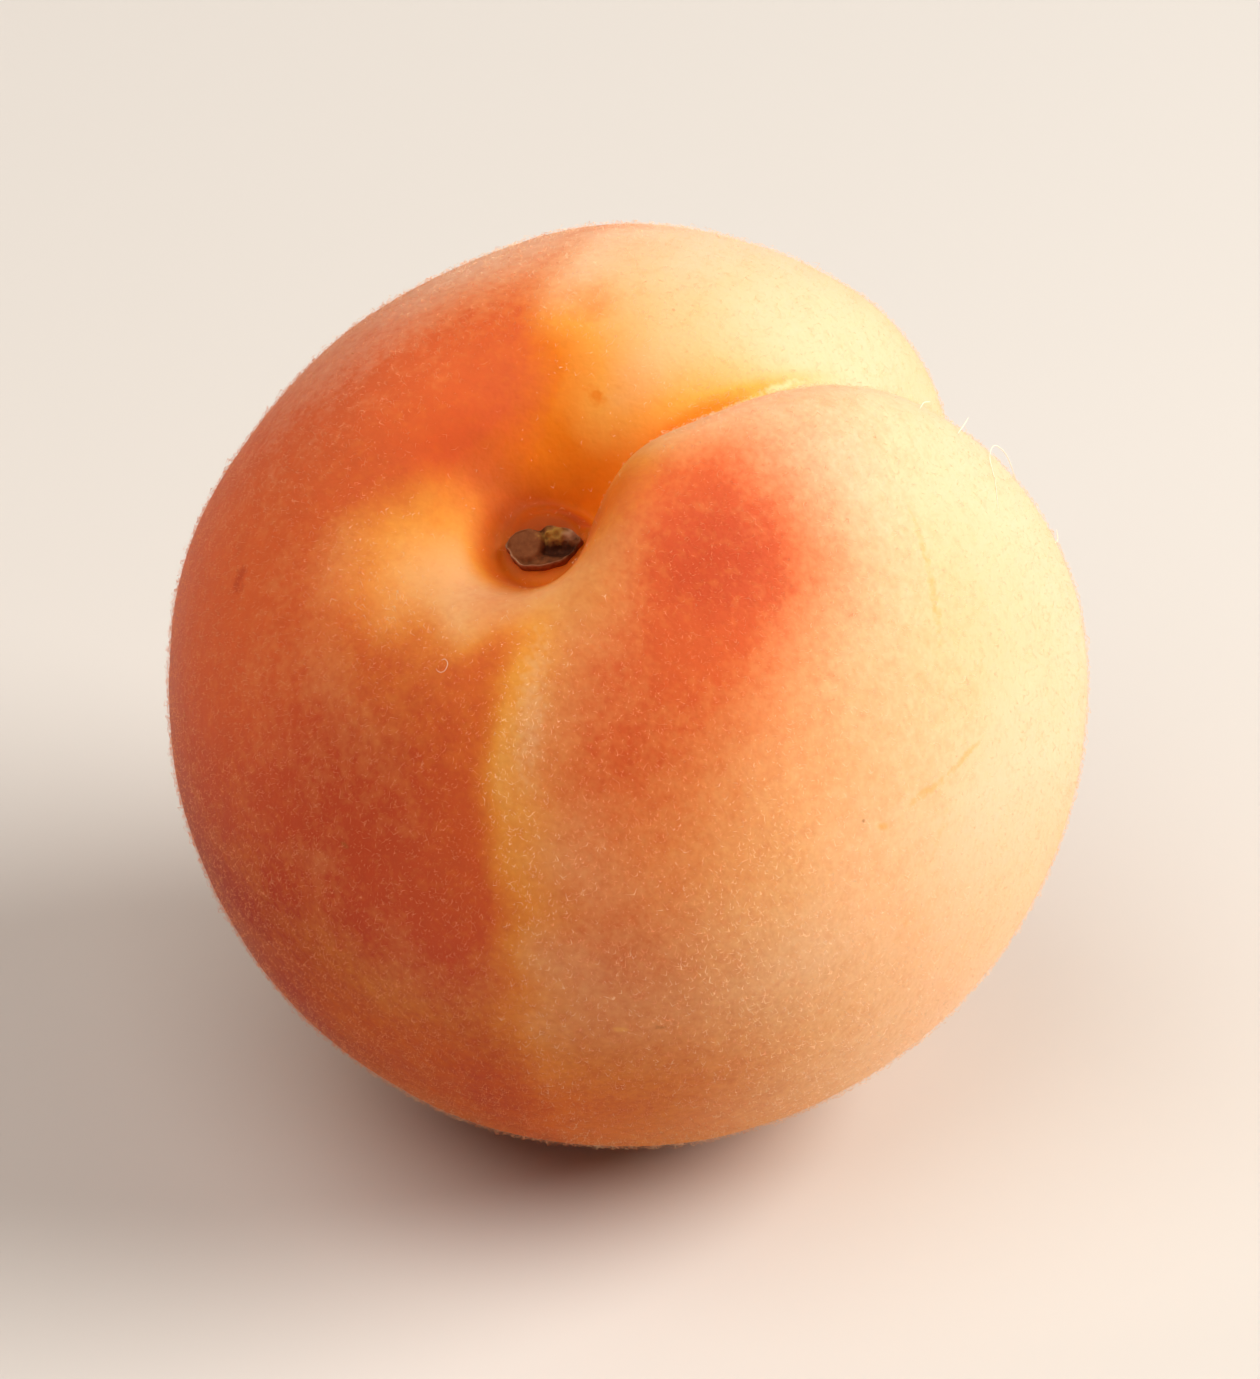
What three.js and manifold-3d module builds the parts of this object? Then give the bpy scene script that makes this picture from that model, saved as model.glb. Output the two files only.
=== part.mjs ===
// An apricot lying on a table, with the dried scar of its stem in the stem cavity.
// Units are millimetres and +Z is up. The table is z = 0.
//
// The skin is one formula in the fruit's own frame: +Z is the stem, +X is the suture, the
// groove that runs from the stem cavity round one side to the far tip. The lobe at +Y of the
// suture is the far lobe, and the lobe at -Y, whose edge stands up beside it, is the near lobe.
// The fruit is then turned until it lies on its side, and trimmed flat where it rests.
import * as THREE from 'three';
import { mergeVertices } from 'three/addons/utils/BufferGeometryUtils.js';
import Module from 'manifold-3d';

const wasm = await Module();
wasm.setup();

// ---- Driving dimensions: millimetres, and degrees for angles ----
//
// Where a size is larger or smaller in one direction round the stem axis, the change is given
// as its amount, the azimuth it faces and how far it spreads to each side.
// A profile is the power that gives a dip's shape: 2 is a plain bell, less is more pointed
// with wider skirts, and more has a flatter bottom and steeper walls.

const GIRTH_RADIUS = 22.45; // round the middle
const HALF_HEIGHT = 22.6; // middle to stem end, before the cavity, and middle to tip
const STEM_END_SQUARENESS = 2.16; // 2 is a plain ellipsoid, more is squarer
const TIP_END_SQUARENESS = 2;
const GIRTH_CHANGES = [
  { amount: -1.25, azimuth: 92, spread: 30 }, // the far cheek is flatter
  { amount: 0.35, azimuth: 186, spread: 42 }, // the side opposite the suture is fuller
  { amount: 0.15, azimuth: -25, spread: 30 },
];

const CAVITY_DEPTH = 3.7; // the broad dimple round the stem
const CAVITY_RADIUS = 4.2; // its least radius, on the near lobe
const CAVITY_RADIUS_CHANGES = [
  { amount: 5.2, azimuth: 62, spread: 52 }, // up the far lobe
  { amount: 5, azimuth: 152, spread: 36 }, // out to the cheek opposite the suture
];
const CAVITY_PROFILE = 1.9;
const CAVITY_PROFILE_CHANGES = [{ amount: -0.5, azimuth: 62, spread: 60 }];
const PIT_DEPTH = 2.1; // the steep pit inside it
const PIT_RADIUS = 2.9;
const PIT_RADIUS_CHANGES = [
  { amount: 1.3, azimuth: 55, spread: 65 },
  { amount: 0.6, azimuth: -150, spread: 40 },
  { amount: 0.7, azimuth: -85, spread: 45 },
];
const PIT_PROFILE = 1.9;
const PIT_PROFILE_CHANGES = [{ amount: 2.7, azimuth: -110, spread: 75 }]; // steep at the front
const PIT_FLOOR_HEIGHT = 17; // above the middle of the fruit
const PIT_FLOOR_RADIUS = 1.7; // flat, under the scar
const PIT_FLOOR_EDGE = 3; // where the pit's walls take over
const CAVITY_FADE = [60, 100]; // polar angles between which the cavity fades out

const SUTURE_DEPTH = 3.9; // at the cavity
const SUTURE_DEPTH_FADE = 0.9; // power of its lessening towards the tip
const SUTURE_GIRTH_DEEPENING = 0.3; // share of the depth added round one polar angle
const SUTURE_DEEPEST = { polar: 88, spread: 25 };
const SUTURE_PROFILE = 0.62; // of the square of the distance from its line
const SUTURE_GIRTH_PROFILE = 0.1; // added to it below the shoulder
const SUTURE_PROFILE_CHANGE = [45, 75]; // polar angles between which it is added
const SUTURE_BOTTOM = 0.004; // rounds the very bottom
const SUTURE_NEAR_WIDTH = 1.1; // steep side, beside the cavity
const SUTURE_NEAR_SPREAD = 3.9; // more width by the time it reaches the girth
const SUTURE_NEAR_WIDENING = [25, 95]; // polar angles between which it gains that
const SUTURE_FAR_WIDTH = 3.3; // gentle side, at girth and tip
const SUTURE_FAR_SPREAD = 2.1; // more width on the shoulder
const SUTURE_SHOULDER = { polar: 32, spread: 35 };
const SUTURE_OFFSET = -0.05; // of its line, towards the far lobe
const SUTURE_BEND = 0.75; // sideways bow of its line beside the cavity
const SUTURE_BEND_PLACE = { x: 6, spread: 3 };
const SUTURE_START = [-3.5, 3.5]; // along X, across the stem: the groove rises out of the pit

const NEAR_LOBE_RISE = 1; // the near lobe's swollen edge
const NEAR_EDGE = { y: -4.2, spread: 3.2 };
const NEAR_EDGE_START = [-4, 5]; // along X
const LIP_RISE = 0.5; // the same edge where it runs round the front of the pit
const LIP_PLACE = { radius: 5, spread: 2.4 };
const LIP_FRONT = { azimuth: -65, spread: 45 };
const EDGE_FADE = [80, 35]; // polar angles between which both edges appear

const TIP_RISE = 0.5; // the small point at the far end, with the style's scar in it
const TIP_RADIUS = 4;
const STYLE_SCAR_RADIUS = 0.9;

const SIDEWAYS = [15, 70]; // polar angles between which dents turn from downward to inward

const LEAN = 35.5; // stem axis from the vertical, towards -Y
const SUTURE_TURN = 56; // suture round the stem axis, from +X
const REST_TRIM = 0.55; // depth of the flat spot that the fruit rests on

const SCAR_LENGTH = 3.7;
const SCAR_WIDTH = 2.2;
const SCAR_THICKNESS = 0.55;
const SCAR_HOLLOW = 0.25; // the dark hollow where the stem's strands tore out
const SCAR_HOLLOW_PLACE = { x: 0.7, y: -0.2, radius: 0.6 };
const SCAR_EDGE_WAVES = [
  { share: 0.07, count: 3, phase: 0.6 }, // of its radius
  { share: 0.04, count: 5, phase: 0 },
];
const SCAR_OUTLINE_POWER = 0.6; // how steeply its sides drop
const SCAR_LID_POWER = 0.35; // how flat its top is
const SCAR_TURN = -35; // its long axis round the stem axis, from the suture
const CLEARANCE = 0.3; // between the scar and the pit's floor

// How finely each surface is divided.
const SKIN_COLUMNS = 84;
const SKIN_ROWS = 50;
const SKIN_SPREAD = { stemward: 1.4, sutureward: 0.55 };
const SCAR_COLUMNS = 30;
const SCAR_ROWS = 14;

// ---- Small functions that the formulas are made of ----

const { degToRad, radToDeg, clamp, lerp, euclideanModulo } = THREE.MathUtils;

// 0 at from, 1 at to, and smooth between them.
function ramp([from, to], value) {
  const t = clamp((value - from) / (to - from), 0, 1);
  return t * t * (3 - 2 * t);
}

// 1 at the centre, fading to 0 over about two widths.
function bell(value, centre, width) {
  return Math.exp(-(((value - centre) / width) ** 2));
}

// The same for a direction round the stem axis.
function facing(azimuth, { azimuth: centre, spread }) {
  const turn = euclideanModulo(radToDeg(azimuth) - centre + 180, 360) - 180;
  return bell(turn, 0, spread);
}

// A size with its changes round the stem axis added.
function varied(size, changes, azimuth) {
  return changes.reduce((total, change) => total + change.amount * facing(azimuth, change), size);
}

// ---- The skin ----

// Plain body: nearly round, flatter on the far cheek and fuller opposite the suture.
function bodyPoint(polar, azimuth) {
  const girth = GIRTH_RADIUS + varied(0, GIRTH_CHANGES, azimuth) * Math.sin(polar) ** 2;
  const power = Math.cos(polar) > 0 ? STEM_END_SQUARENESS : TIP_END_SQUARENESS;
  const across = (Math.sin(polar) / girth) ** power;
  const along = (Math.abs(Math.cos(polar)) / HALF_HEIGHT) ** power;
  return new THREE.Vector3().setFromSphericalCoords((across + along) ** (-1 / power), polar, azimuth);
}

// Depth of the suture's groove below the body, steep on the near lobe's side.
function sutureDepth(x, y, polar) {
  const angle = radToDeg(polar);
  const nearWidth = SUTURE_NEAR_WIDTH + SUTURE_NEAR_SPREAD * ramp(SUTURE_NEAR_WIDENING, angle);
  const onShoulder = bell(angle, SUTURE_SHOULDER.polar, SUTURE_SHOULDER.spread);
  const farWidth = SUTURE_FAR_WIDTH + SUTURE_FAR_SPREAD * onShoulder;
  const bend = SUTURE_BEND * bell(x, SUTURE_BEND_PLACE.x, SUTURE_BEND_PLACE.spread);
  const across = y - SUTURE_OFFSET - bend;
  const step = across / (across > 0 ? farWidth : nearWidth);
  const power = SUTURE_PROFILE + SUTURE_GIRTH_PROFILE * ramp(SUTURE_PROFILE_CHANGE, angle);
  const profile = Math.exp(-((step ** 2 + SUTURE_BOTTOM) ** power));
  const deepening = 1 + SUTURE_GIRTH_DEEPENING * bell(angle, SUTURE_DEEPEST.polar, SUTURE_DEEPEST.spread);
  const depth = SUTURE_DEPTH * Math.cos(polar / 2) ** SUTURE_DEPTH_FADE * deepening;
  return depth * profile * ramp(SUTURE_START, x);
}

// Height of the near lobe's swollen edge, beside the suture and round the front of the pit.
function edgeRise(x, y, fromAxis, polar, azimuth) {
  const besideSuture = bell(y, NEAR_EDGE.y, NEAR_EDGE.spread) * ramp(NEAR_EDGE_START, x);
  const roundPit = bell(fromAxis, LIP_PLACE.radius, LIP_PLACE.spread) * facing(azimuth, LIP_FRONT);
  const swelling = NEAR_LOBE_RISE * besideSuture + LIP_RISE * roundPit;
  return swelling * ramp(EDGE_FADE, radToDeg(polar));
}

// Depth of the stem cavity: a broad dimple, wider up the far lobe and out to the cheek
// opposite the suture, and a pit that is steep at the front and open at the back.
function cavityDepth(fromAxis, polar, azimuth) {
  const broadRadius = varied(CAVITY_RADIUS, CAVITY_RADIUS_CHANGES, azimuth);
  const broadProfile = varied(CAVITY_PROFILE, CAVITY_PROFILE_CHANGES, azimuth);
  const broad = Math.exp(-((fromAxis / broadRadius) ** broadProfile));
  const pitRadius = varied(PIT_RADIUS, PIT_RADIUS_CHANGES, azimuth);
  const pitProfile = varied(PIT_PROFILE, PIT_PROFILE_CHANGES, azimuth);
  const pit = Math.exp(-((fromAxis / pitRadius) ** pitProfile));
  return (CAVITY_DEPTH * broad + PIT_DEPTH * pit) * (1 - ramp(CAVITY_FADE, radToDeg(polar)));
}

// The small point at the far end, and the pinprick of the style's scar in it.
function tipRise(fromAxis, polar) {
  if (Math.cos(polar) > 0) return 0;
  return TIP_RISE * (bell(fromAxis, 0, TIP_RADIUS) - bell(fromAxis, 0, STYLE_SCAR_RADIUS));
}

// A point of the skin, in the fruit's frame. Near the stem the skin is moved along the stem
// axis, and lower down along its own normal.
function skinPoint(polar, azimuth) {
  const body = bodyPoint(polar, azimuth);
  const x = body.z; // three's spherical coordinates have +Y up and start at +Z
  const y = body.x;
  const fromAxis = Math.hypot(x, y);
  const inward = sutureDepth(x, y, polar) - edgeRise(x, y, fromAxis, polar, azimuth);
  const sideways = ramp(SIDEWAYS, radToDeg(polar));
  const outside = inward * sideways * Math.sin(polar);
  const downward = inward * (1 - sideways + sideways * Math.cos(polar));
  const free = body.y - downward - cavityDepth(fromAxis, polar, azimuth) - tipRise(fromAxis, polar);
  const onStemSide = Math.cos(polar) > 0 ? 1 : 0;
  const onFloor = onStemSide * (1 - ramp([PIT_FLOOR_RADIUS, PIT_FLOOR_EDGE], fromAxis));
  return new THREE.Vector3(
    x - outside * Math.cos(azimuth),
    y - outside * Math.sin(azimuth),
    lerp(free, PIT_FLOOR_HEIGHT, onFloor),
  );
}

// ---- Closed meshes from formulas ----

// A sphere whose vertices are moved to pointAt(polar, azimuth). stemward draws rows towards
// the stem, and sutureward draws columns towards the suture, where the detail is.
function closedSurface(columns, rows, pointAt, { stemward = 1, sutureward = 0 } = {}) {
  const geometry = new THREE.SphereGeometry(1, columns, rows);
  const { position, uv } = geometry.attributes;
  for (let i = 0; i < position.count; i++) {
    const polar = Math.PI * (1 - uv.getY(i)) ** stemward;
    const turn = 2 * uv.getX(i) - 1;
    const azimuth = Math.PI * ((1 - sutureward) * turn + sutureward * turn ** 3);
    const point = pointAt(polar, azimuth);
    position.setXYZ(i, point.x, point.y, point.z);
  }
  geometry.deleteAttribute('normal');
  geometry.deleteAttribute('uv');
  return mergeVertices(geometry, 1e-3);
}

function toSolid(geometry) {
  return new wasm.Manifold(
    new wasm.Mesh({
      numProp: 3,
      vertProperties: new Float32Array(geometry.attributes.position.array),
      triVerts: new Uint32Array(geometry.index.array),
    }),
  );
}

function toGeometry(solid) {
  const mesh = solid.getMesh();
  const geometry = new THREE.BufferGeometry();
  geometry.setAttribute('position', new THREE.BufferAttribute(mesh.vertProperties, 3));
  geometry.setIndex(new THREE.BufferAttribute(mesh.triVerts, 1));
  return geometry;
}

// ---- The fruit, turned to lie on its side and trimmed where it rests ----

const lie = new THREE.Matrix4().makeRotationFromEuler(
  new THREE.Euler(degToRad(LEAN), 0, degToRad(SUTURE_TURN), 'XYZ'),
);

function fruitGeometry() {
  const skin = closedSurface(SKIN_COLUMNS, SKIN_ROWS, skinPoint, SKIN_SPREAD).applyMatrix4(lie);
  skin.computeBoundingBox();
  const { min, max } = skin.boundingBox;
  const middle = new THREE.Vector3((min.x + max.x) / 2, (min.y + max.y) / 2, min.z + REST_TRIM);
  const tableSize = 4 * GIRTH_RADIUS;
  const table = new THREE.BoxGeometry(tableSize, tableSize, tableSize);
  table.deleteAttribute('normal');
  table.deleteAttribute('uv');
  const belowTable = mergeVertices(table).translate(middle.x, middle.y, middle.z - tableSize / 2);
  const geometry = toGeometry(toSolid(skin).subtract(toSolid(belowTable)));
  return { geometry, middle };
}

// ---- The scar of the stem: a dried button with a raised rim and a hollow at one end ----

function scarPoint(polar, azimuth) {
  const wavy = ({ share, count, phase }) => share * Math.sin(count * azimuth + phase);
  const edge = SCAR_EDGE_WAVES.reduce((total, wave) => total + wavy(wave), 1);
  const spread = edge * Math.sin(polar) ** SCAR_OUTLINE_POWER;
  const x = (SCAR_LENGTH / 2) * spread * Math.cos(azimuth);
  const y = (SCAR_WIDTH / 2) * spread * Math.sin(azimuth);
  const bottom = PIT_FLOOR_HEIGHT + CLEARANCE;
  if (Math.cos(polar) <= 0) return new THREE.Vector3(x, y, bottom);
  const lid = bottom + SCAR_THICKNESS * Math.cos(polar) ** SCAR_LID_POWER;
  const fromHollow = Math.hypot(x - SCAR_HOLLOW_PLACE.x, y - SCAR_HOLLOW_PLACE.y);
  const hollow = SCAR_HOLLOW * bell(fromHollow, 0, SCAR_HOLLOW_PLACE.radius);
  return new THREE.Vector3(x, y, lid - hollow);
}

function scarGeometry() {
  return closedSurface(SCAR_COLUMNS, SCAR_ROWS, scarPoint).rotateZ(degToRad(SCAR_TURN)).applyMatrix4(lie);
}

// ---- The apricot ----

const skinMaterial = new THREE.MeshStandardMaterial({ color: '#e8924c', roughness: 0.62, metalness: 0 });
const scarMaterial = new THREE.MeshStandardMaterial({ color: '#5c4331', roughness: 0.85, metalness: 0 });

const { geometry: fruitShape, middle } = fruitGeometry();

const fruit = new THREE.Mesh(fruitShape, skinMaterial);
fruit.name = 'fruit';

const stemScar = new THREE.Mesh(scarGeometry(), scarMaterial);
stemScar.name = 'stem_scar';

const apricot = new THREE.Group();
apricot.name = 'apricot';
apricot.add(fruit, stemScar);
apricot.position.copy(middle).negate();
apricot.updateMatrixWorld(true);

export default apricot;
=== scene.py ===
"""An apricot lying on a pale table: fine skin, a coat of short fuzz and the dried scar of the stem.

The shape formulas work in the fruit's own frame, in millimetres: +Z is the stem, +X is the
suture, +Y the far lobe and -Y the near lobe. Places on the skin are given as a polar angle
from the stem and an azimuth from the suture, in degrees. to_row() turns them into the
frame of the CAD, in metres.
"""

import math

import bpy
import numpy as np
from mathutils import Matrix, Vector


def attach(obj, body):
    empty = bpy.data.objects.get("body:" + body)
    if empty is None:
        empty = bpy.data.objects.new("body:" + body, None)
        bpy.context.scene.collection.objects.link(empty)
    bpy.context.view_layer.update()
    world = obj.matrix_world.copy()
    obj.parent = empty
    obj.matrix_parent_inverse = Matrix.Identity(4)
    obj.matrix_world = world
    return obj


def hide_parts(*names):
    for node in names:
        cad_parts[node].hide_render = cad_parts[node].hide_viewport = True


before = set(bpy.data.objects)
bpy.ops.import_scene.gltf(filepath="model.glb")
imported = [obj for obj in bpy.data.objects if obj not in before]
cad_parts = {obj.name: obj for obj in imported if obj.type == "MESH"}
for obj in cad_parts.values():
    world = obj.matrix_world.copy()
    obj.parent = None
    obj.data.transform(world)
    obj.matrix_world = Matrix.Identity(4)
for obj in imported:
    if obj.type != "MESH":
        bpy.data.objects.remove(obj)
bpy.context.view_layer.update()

# ---- Driving dimensions of the fruit, as in the CAD: millimetres and degrees ----
#
# A list of changes makes a size larger or smaller in directions round the stem axis: each is
# its amount, the azimuth it faces and how far it spreads to each side.

GIRTH_RADIUS = 22.45
HALF_HEIGHT = 22.6
STEM_END_SQUARENESS = 2.16
TIP_END_SQUARENESS = 2.0
GIRTH_CHANGES = [(-1.25, 92, 30), (0.35, 186, 42), (0.15, -25, 30)]

CAVITY_DEPTH = 3.7
CAVITY_RADIUS = 4.2
CAVITY_RADIUS_CHANGES = [(5.2, 62, 52), (5, 152, 36)]
CAVITY_PROFILE = 1.9
CAVITY_PROFILE_CHANGES = [(-0.5, 62, 60)]
PIT_DEPTH = 2.1
PIT_RADIUS = 2.9
PIT_RADIUS_CHANGES = [(1.3, 55, 65), (0.6, -150, 40), (0.7, -85, 45)]
PIT_PROFILE = 1.9
PIT_PROFILE_CHANGES = [(2.7, -110, 75)]
PIT_FLOOR_HEIGHT = 17.0
PIT_FLOOR_RADIUS = 1.7
PIT_FLOOR_EDGE = 3.0
CAVITY_FADE = (60, 100)  # polar angles between which the cavity fades out

SUTURE_DEPTH = 3.9
SUTURE_DEPTH_FADE = 0.9
SUTURE_GIRTH_DEEPENING = 0.3
SUTURE_DEEPEST = (88, 25)  # polar angle and spread
SUTURE_PROFILE = 0.62
SUTURE_GIRTH_PROFILE = 0.1
SUTURE_PROFILE_CHANGE = (45, 75)
SUTURE_BOTTOM = 0.004
SUTURE_NEAR_WIDTH = 1.1
SUTURE_NEAR_SPREAD = 3.9
SUTURE_NEAR_WIDENING = (25, 95)
SUTURE_FAR_WIDTH = 3.3
SUTURE_FAR_SPREAD = 2.1
SUTURE_SHOULDER = (32, 35)  # polar angle and spread
SUTURE_OFFSET = -0.05
SUTURE_BEND = 0.75
SUTURE_BEND_PLACE = (6, 3)  # x and spread
SUTURE_START = (-3.5, 3.5)  # along x

NEAR_LOBE_RISE = 1.0
NEAR_EDGE = (-4.2, 3.2)  # y and spread
NEAR_EDGE_START = (-4, 5)  # along x
LIP_RISE = 0.5
LIP_PLACE = (5, 2.4)  # distance from the stem axis and spread
LIP_FRONT = (-65, 45)  # azimuth and spread
EDGE_FADE = (80, 35)

TIP_RISE = 0.5
TIP_RADIUS = 4
STYLE_SCAR_RADIUS = 0.9

SIDEWAYS = (15, 70)  # polar angles between which dents turn from downward to inward

LEAN = 35.5
SUTURE_TURN = 56.0
REST_TRIM = 0.55

SCAR_LENGTH = 3.7
SCAR_WIDTH = 2.2
SCAR_TURN = -35.0

# ---- Fineness ----

SKIN_COLUMNS = 336  # a multiple of 4, so that a column falls on each fold of the UV map
SKIN_ROWS = 282
SKIN_STEMWARD = 1.25  # draws rows towards the stem
SCAR_COLUMNS = 96
SCAR_ROWS = 56

# ---- Small functions that the formulas are made of ----


def ramp(start, end, value):
    """0 at start, 1 at end, and smooth between them."""
    t = np.clip((value - start) / (end - start), 0, 1)
    return t * t * (3 - 2 * t)


def bell(value, centre, width):
    """1 at the centre, fading to 0 over about two widths."""
    return np.exp(-(((value - centre) / width) ** 2))


def turn_from(azimuth, centre):
    """The turn from centre to azimuth, in degrees from -180 to 180. azimuth is in radians."""
    return (np.degrees(azimuth) - centre + 180) % 360 - 180


def facing(azimuth, centre, width):
    """A bell for a direction round the stem axis."""
    return bell(turn_from(azimuth, centre), 0, width)


def varied(size, changes, azimuth):
    """A size with its changes round the stem axis added."""
    return size + sum(amount * facing(azimuth, centre, spread) for amount, centre, spread in changes)


def waves(points, wavelength, seed, count=28):
    """A smooth random field of about -1 to 1: plane waves in seeded directions."""
    draw = np.random.default_rng(seed)
    directions = draw.normal(size=(count, 3))
    directions /= np.linalg.norm(directions, axis=1, keepdims=True)
    phases = draw.uniform(0, 2 * np.pi, count)
    total = np.zeros(len(points))
    for direction, phase in zip(directions, phases):
        total += np.sin(points @ direction * (2 * np.pi / wavelength) + phase)
    return total / math.sqrt(count / 2)


# ---- The skin's formula ----


def body_radius(polar, azimuth):
    """Plain body: nearly round, flatter on the far cheek and fuller opposite the suture."""
    girth = GIRTH_RADIUS + varied(0, GIRTH_CHANGES, azimuth) * np.sin(polar) ** 2
    power = np.where(np.cos(polar) > 0, STEM_END_SQUARENESS, TIP_END_SQUARENESS)
    across = (np.sin(polar) / girth) ** power
    along = (np.abs(np.cos(polar)) / HALF_HEIGHT) ** power
    return (across + along) ** (-1 / power)


def suture_depth(x, y, polar):
    """Depth of the suture's groove below the body, steep on the near lobe's side."""
    angle = np.degrees(polar)
    near_width = SUTURE_NEAR_WIDTH + SUTURE_NEAR_SPREAD * ramp(*SUTURE_NEAR_WIDENING, angle)
    far_width = SUTURE_FAR_WIDTH + SUTURE_FAR_SPREAD * bell(angle, *SUTURE_SHOULDER)
    across = y - SUTURE_OFFSET - SUTURE_BEND * bell(x, *SUTURE_BEND_PLACE)
    step = across / np.where(across > 0, far_width, near_width)
    power = SUTURE_PROFILE + SUTURE_GIRTH_PROFILE * ramp(*SUTURE_PROFILE_CHANGE, angle)
    profile = np.exp(-((step**2 + SUTURE_BOTTOM) ** power))
    deepening = 1 + SUTURE_GIRTH_DEEPENING * bell(angle, *SUTURE_DEEPEST)
    depth = SUTURE_DEPTH * np.cos(polar / 2) ** SUTURE_DEPTH_FADE * deepening
    return depth * profile * ramp(*SUTURE_START, x)


def edge_rise(x, y, from_axis, polar, azimuth):
    """Height of the near lobe's swollen edge, beside the suture and round the pit's front."""
    beside_suture = bell(y, *NEAR_EDGE) * ramp(*NEAR_EDGE_START, x)
    round_pit = bell(from_axis, *LIP_PLACE) * facing(azimuth, *LIP_FRONT)
    swelling = NEAR_LOBE_RISE * beside_suture + LIP_RISE * round_pit
    return swelling * ramp(*EDGE_FADE, np.degrees(polar))


def cavity_depth(from_axis, polar, azimuth):
    """Depth of the stem cavity: a broad dimple, and a pit that is steep at the front."""
    broad_radius = varied(CAVITY_RADIUS, CAVITY_RADIUS_CHANGES, azimuth)
    broad_profile = varied(CAVITY_PROFILE, CAVITY_PROFILE_CHANGES, azimuth)
    broad = np.exp(-((from_axis / broad_radius) ** broad_profile))
    pit_radius = varied(PIT_RADIUS, PIT_RADIUS_CHANGES, azimuth)
    pit_profile = varied(PIT_PROFILE, PIT_PROFILE_CHANGES, azimuth)
    pit = np.exp(-((from_axis / pit_radius) ** pit_profile))
    return (CAVITY_DEPTH * broad + PIT_DEPTH * pit) * (1 - ramp(*CAVITY_FADE, np.degrees(polar)))


def tip_rise(from_axis, polar):
    """The small point at the far end, and the pinprick of the style's scar in it."""
    rise = bell(from_axis, 0, TIP_RADIUS) - bell(from_axis, 0, STYLE_SCAR_RADIUS)
    return np.where(np.cos(polar) > 0, 0, TIP_RISE * rise)


def skin_points(polar, azimuth):
    """Points of the skin for arrays of angles in radians, in the fruit's frame."""
    radius = body_radius(polar, azimuth)
    from_axis = radius * np.sin(polar)
    x, y = from_axis * np.cos(azimuth), from_axis * np.sin(azimuth)
    inward = suture_depth(x, y, polar) - edge_rise(x, y, from_axis, polar, azimuth)
    sideways = ramp(*SIDEWAYS, np.degrees(polar))
    outside = inward * sideways * np.sin(polar)
    downward = inward * (1 - sideways + sideways * np.cos(polar))
    height = radius * np.cos(polar) - downward
    height = height - cavity_depth(from_axis, polar, azimuth) - tip_rise(from_axis, polar)
    on_floor = np.where(np.cos(polar) > 0, 1 - ramp(PIT_FLOOR_RADIUS, PIT_FLOOR_EDGE, from_axis), 0)
    height = height + (PIT_FLOOR_HEIGHT - height) * on_floor
    return np.stack([x - outside * np.cos(azimuth), y - outside * np.sin(azimuth), height], -1)


def skin_at(polar, azimuth):
    """The place on the skin that lies in one direction, in degrees, from the fruit's middle."""
    unmoved = math.radians(polar)
    for _ in range(8):
        place = skin_points(np.array([unmoved]), np.array([math.radians(azimuth)]))[0]
        unmoved += math.radians(polar) - math.atan2(math.hypot(place[0], place[1]), place[2])
    return place


# ---- From the fruit's frame to the CAD's ----

LIE = np.array(
    Matrix.Rotation(math.radians(LEAN), 3, "X") @ Matrix.Rotation(math.radians(SUTURE_TURN), 3, "Z")
)
MM = 0.001
LYING_GRID = (240, 360)  # points along and round the skin, as in the CAD
LYING_GRID_END = 0.01


def lying_place():
    """Middle and lowest point of the turned skin, as the CAD takes them."""
    along, around = LYING_GRID
    polar = np.linspace(LYING_GRID_END, np.pi - LYING_GRID_END, along)
    azimuth = np.linspace(-np.pi, np.pi, around)
    polar, azimuth = np.meshgrid(polar, azimuth, indexing="ij")
    turned = skin_points(polar.ravel(), azimuth.ravel()) @ LIE.T
    low, high = turned.min(0), turned.max(0)
    return np.array([(low[0] + high[0]) / 2, (low[1] + high[1]) / 2, low[2] + REST_TRIM])


PLACE = lying_place()


def to_row(points):
    """Fruit's frame in millimetres to the CAD's frame in metres."""
    return (np.asarray(points) @ LIE.T - PLACE) * MM


def direction_to_row(vectors):
    return np.asarray(vectors) @ LIE.T


# ---- Meshes ----


def mesh_object(name, points, faces, smooth=True):
    """An object from an array of points, in metres, and a list of arrays of faces."""
    mesh = bpy.data.meshes.new(name)
    mesh.vertices.add(len(points))
    mesh.vertices.foreach_set("co", np.asarray(points, np.float32).ravel())
    corners = np.concatenate([block.ravel() for block in faces])
    sizes = np.concatenate([np.full(len(block), block.shape[1]) for block in faces])
    mesh.loops.add(len(corners))
    mesh.loops.foreach_set("vertex_index", corners.astype(np.int32))
    mesh.polygons.add(len(sizes))
    starts = np.concatenate([[0], np.cumsum(sizes)[:-1]])
    mesh.polygons.foreach_set("loop_start", starts.astype(np.int32))
    mesh.polygons.foreach_set("use_smooth", np.full(len(sizes), smooth))
    mesh.update(calc_edges=True)
    mesh.validate()
    piece = bpy.data.objects.new(name, mesh)
    bpy.context.scene.collection.objects.link(piece)
    return piece


def closed_grid_faces(rows, columns):
    """Quads between rings of points, and fans to a first and a last point after them."""
    row, column = np.meshgrid(np.arange(rows - 1), np.arange(columns), indexing="ij")
    here, beside = row * columns + column, row * columns + (column + 1) % columns
    quads = np.stack([here, here + columns, beside + columns, beside], -1).reshape(-1, 4)
    ring = np.arange(columns)
    following = (ring + 1) % columns
    first, last = rows * columns, rows * columns + 1
    below = (rows - 1) * columns
    top = np.stack([np.full(columns, first), ring, following], -1)
    bottom = np.stack([np.full(columns, last), below + following, below + ring], -1)
    return [quads, top, bottom]


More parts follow.
